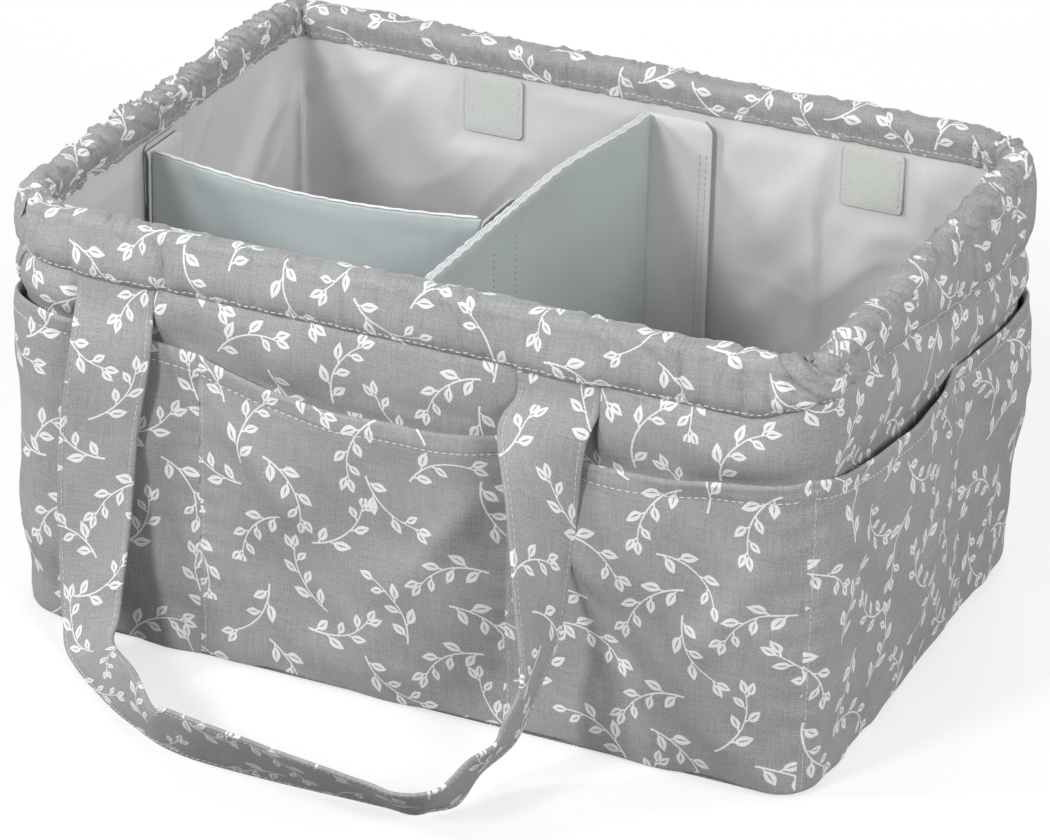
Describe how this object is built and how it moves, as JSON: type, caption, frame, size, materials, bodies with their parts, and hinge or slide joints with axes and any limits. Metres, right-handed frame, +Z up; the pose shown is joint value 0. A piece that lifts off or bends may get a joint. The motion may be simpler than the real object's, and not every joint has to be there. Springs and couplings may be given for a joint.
{
  "type": "fabric organizer caddy",
  "caption": "Soft-sided rectangular caddy with a gathered rim, outside pockets all round, two strap handles and two lift-out dividers with hook-and-loop tabs.",
  "frame": {"origin": "middle of the base, on the surface that the bag stands on", "axes": "+X along the bag's length, +Y from its front to its back, +Z up"},
  "size_m": [0.38, 0.493, 0.192],
  "materials": {
    "printed_cotton": "grey woven cotton with a small white leaf print",
    "stiffening_board": "plain board sewn inside the walls and the base",
    "lining_nylon": "light grey smooth nylon",
    "elastic": "knitted elastic band",
    "loop_pile": "hook-and-loop tape",
    "divider_satin": "blue-grey satin nylon",
    "edge_binding": "white woven edge"
  },
  "bodies": {
    "bag": {"cover_base": "printed_cotton", "cover_front": "printed_cotton", "cover_back": "printed_cotton", "cover_left": "printed_cotton", "cover_right": "printed_cotton", "cuff_front": "printed_cotton", "cuff_back": "printed_cotton", "cuff_left": "printed_cotton", "cuff_right": "printed_cotton", "pocket_front_middle": "printed_cotton", "pocket_front_right": "printed_cotton", "pocket_right_side": "printed_cotton", "pocket_right_rear": "printed_cotton", "pocket_back_middle": "printed_cotton", "pocket_back_left": "printed_cotton", "pocket_left_side": "printed_cotton", "pocket_left_front": "printed_cotton", "base_board": "stiffening_board", "board_front": "stiffening_board", "board_back": "stiffening_board", "board_left": "stiffening_board", "board_right": "stiffening_board", "lining_floor": "lining_nylon", "lining_front": "lining_nylon", "lining_back": "lining_nylon", "lining_left": "lining_nylon", "lining_right": "lining_nylon", "rim_elastic": "elastic", "loop_patch_back_left": "loop_pile", "loop_patch_back_middle": "loop_pile", "loop_patch_back_right": "loop_pile", "loop_patch_front_left": "loop_pile", "loop_patch_front_middle": "loop_pile", "loop_patch_front_right": "loop_pile", "loop_patch_side": "loop_pile"},
    "front_handle": {"handle_front": "printed_cotton"},
    "back_handle": {"handle_back": "printed_cotton"},
    "main_divider": {"main_divider_tab_back": "lining_nylon", "main_divider_tab_front": "lining_nylon", "main_divider_loops": "loop_pile", "main_divider_hooks_back": "loop_pile", "main_divider_hooks_front": "loop_pile", "main_divider_panel": "divider_satin", "main_divider_edge": "edge_binding"},
    "cross_divider": {"cross_divider_tab_left": "lining_nylon", "cross_divider_tab_inner": "lining_nylon", "cross_divider_hooks_left": "loop_pile", "cross_divider_hooks_inner": "loop_pile", "cross_divider_panel": "divider_satin", "cross_divider_edge": "edge_binding"}
  },
  "joints": [
    {"name": "front_handle_swing", "type": "hinge", "parent": "bag", "child": "front_handle", "pos_m": [-0.0265, -0.132, 0.165], "axis": [-1, 0, 0], "range_deg": [0, 135]},
    {"name": "back_handle_swing", "type": "hinge", "parent": "bag", "child": "back_handle", "pos_m": [0.0265, 0.132, 0.165], "axis": [1, 0, 0], "range_deg": [0, 135]},
    {"name": "main_divider_lift", "type": "slide", "parent": "bag", "child": "main_divider", "axis": [0, 0, 1], "range_m": [0, 0.2]},
    {"name": "cross_divider_lift", "type": "slide", "parent": "bag", "child": "cross_divider", "axis": [0, 0, 1], "range_m": [0, 0.2]}
  ]
}
